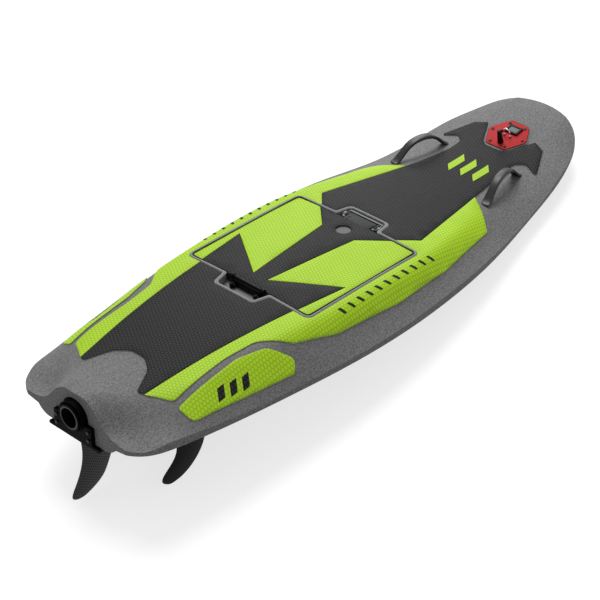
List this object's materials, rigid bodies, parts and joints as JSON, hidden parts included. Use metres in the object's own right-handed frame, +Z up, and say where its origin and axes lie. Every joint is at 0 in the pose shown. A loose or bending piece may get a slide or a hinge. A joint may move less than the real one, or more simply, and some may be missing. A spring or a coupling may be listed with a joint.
{
  "type": "motorized surfboard",
  "caption": "Rigid jet-driven surfboard with a battery bay under a hinged lid, foam deck pads, grab handles, a nose control panel and swept tail fins.",
  "frame": {"origin": "centre of the box on the floor, under the board as it stands on its side fins and the forward belly", "axes": "+X towards the nose, +Y to port, +Z up; the deck at the lid is pitched nose down by 9.16 degrees, as the board rests"},
  "size_m": [1.8804, 0.6739, 0.3233],
  "materials": {
    "hull_shell": "moulded shell, satin grey with a fine fleck",
    "rim_grey": "satin grey moulding",
    "lid_shell": "satin grey moulding",
    "foam_black": "grooved closed-cell foam, charcoal",
    "foam_lime": "grooved closed-cell foam, lime green",
    "black_rubber": "moulded soft grip",
    "black_plastic": "moulded black",
    "red_panel": "red anodised plate",
    "chrome": "polished",
    "steel": "turned stainless",
    "fin_carbon": "carbon weave under clear resin",
    "battery_grey": "plain case",
    "motor_alloy": "plain block"
  },
  "bodies": {
    "board": {"hull": "hull_shell", "hatch_rim": "rim_grey", "hinge_pin": "steel", "deck_pad_front": "foam_black", "deck_pad_aft": "foam_black", "side_pad_port": "foam_lime", "side_pad_starboard": "foam_lime", "tail_pad_port": "foam_lime", "tail_pad_starboard": "foam_lime", "handle_port": "black_rubber", "handle_starboard": "black_rubber", "control_panel": "red_panel", "display": "black_plastic", "key_knob": "black_plastic", "tether_eye": "chrome", "jet_housing": "black_plastic", "jet_nozzle": "black_plastic", "stator": "black_plastic", "intake_grate": "black_plastic", "ride_plate": "black_plastic", "fin_centre": "fin_carbon", "fin_port": "fin_carbon", "fin_starboard": "fin_carbon", "battery_case": "battery_grey", "motor": "motor_alloy"},
    "lid": {"lid": "lid_shell", "lid_pad_centre": "foam_black", "lid_pad_port": "foam_lime", "lid_pad_starboard": "foam_lime", "lid_disc": "rim_grey", "lid_latch": "black_plastic"},
    "rotor": {"impeller": "steel", "drive_shaft": "steel"}
  },
  "joints": [
    {"name": "lid_hinge", "type": "hinge", "parent": "board", "child": "lid", "pos_m": [0.151, 0, 0.17975], "axis": [0, 1, 0], "range_deg": [0, 90]},
    {"name": "impeller_spin", "type": "hinge", "parent": "board", "child": "rotor", "pos_m": [-0.79038, 0, 0.24646], "axis": [0.9872, 0, -0.1592], "continuous": true}
  ]
}
